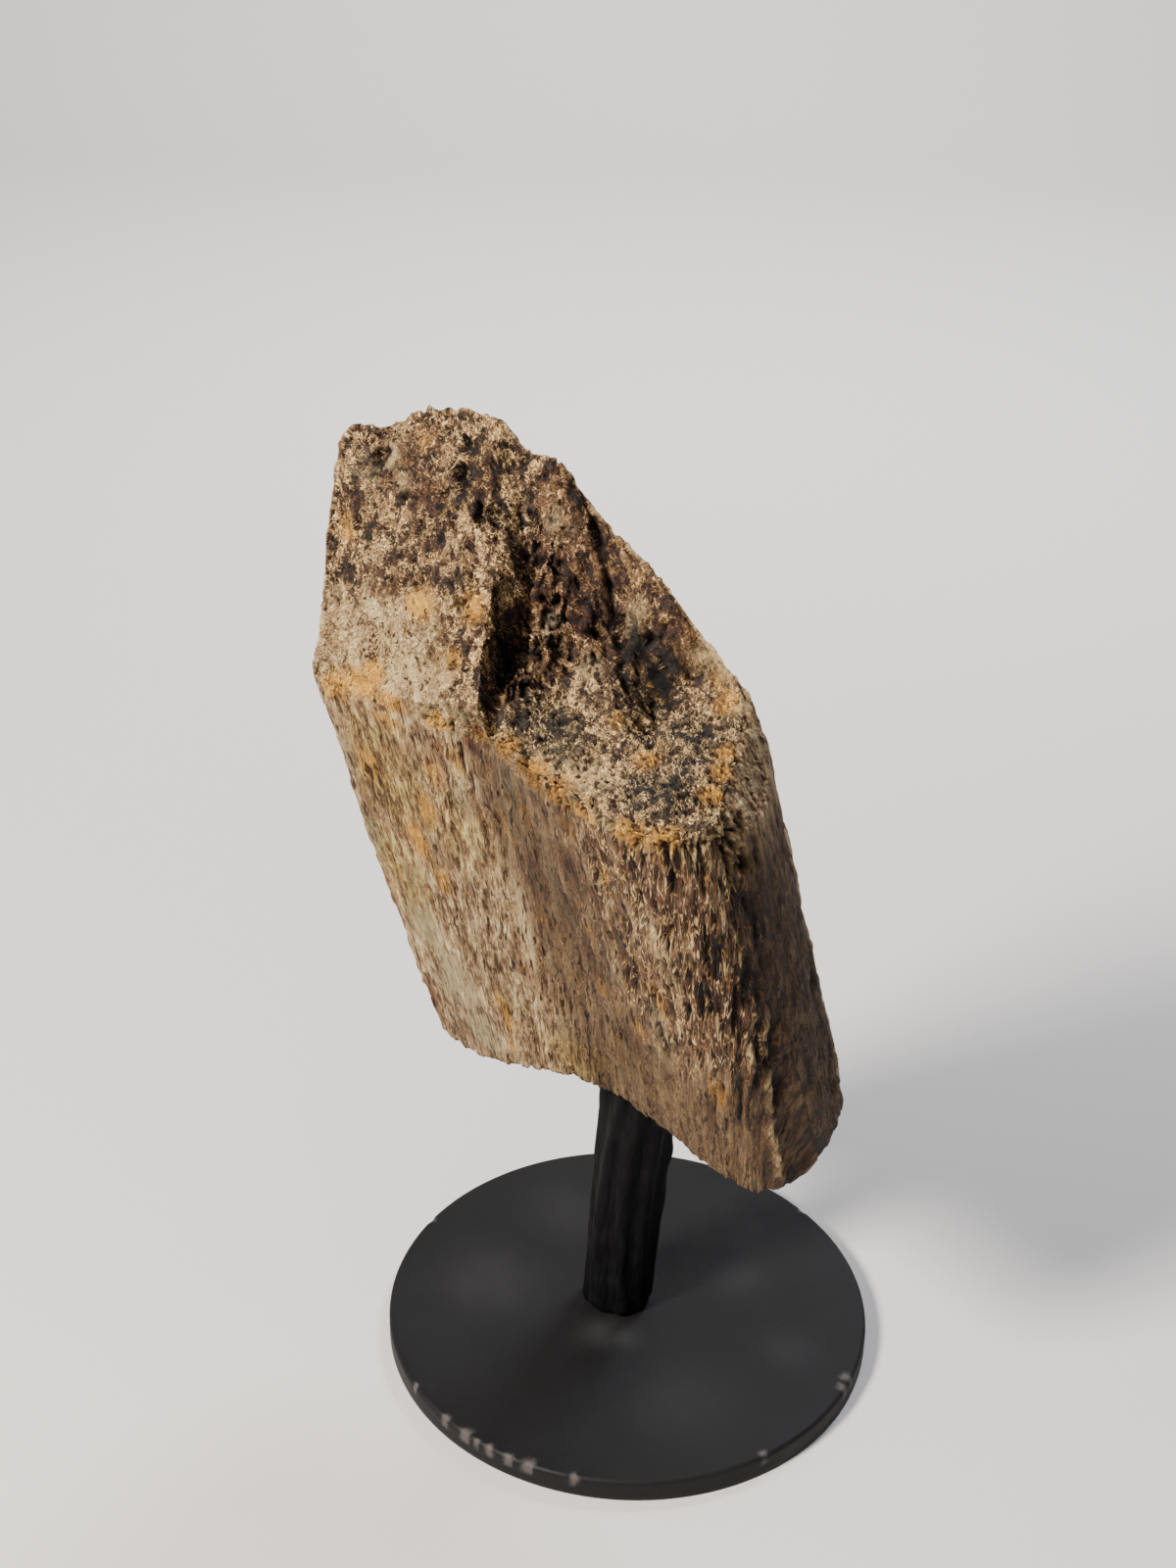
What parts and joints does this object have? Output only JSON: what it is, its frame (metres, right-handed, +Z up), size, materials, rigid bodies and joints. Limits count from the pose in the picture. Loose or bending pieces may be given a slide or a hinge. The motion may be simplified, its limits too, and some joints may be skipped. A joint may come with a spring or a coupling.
{
  "type": "fossil rib fragment on a stand",
  "caption": "Broken piece of fossil rib with a porous stepped top, standing tilted on a rough upright post and a thin round disc.",
  "frame": {"origin": "centre of the disc's underside, which rests on the table", "axes": "+Z up, through the disc; -Y the front, where the bone's broad face and its right end show; +X to the right seen from the front"},
  "size_m": [0.0966, 0.1093, 0.1877],
  "materials": {
    "disc_paint": "matte black, chipped at the rim",
    "post_paint": "matte black",
    "fossil_bone": "dry and rough, spongy at the breaks"
  },
  "bodies": {
    "root": {"base": "disc_paint", "post": "post_paint", "rib_fragment": "fossil_bone"}
  },
  "joints": []
}
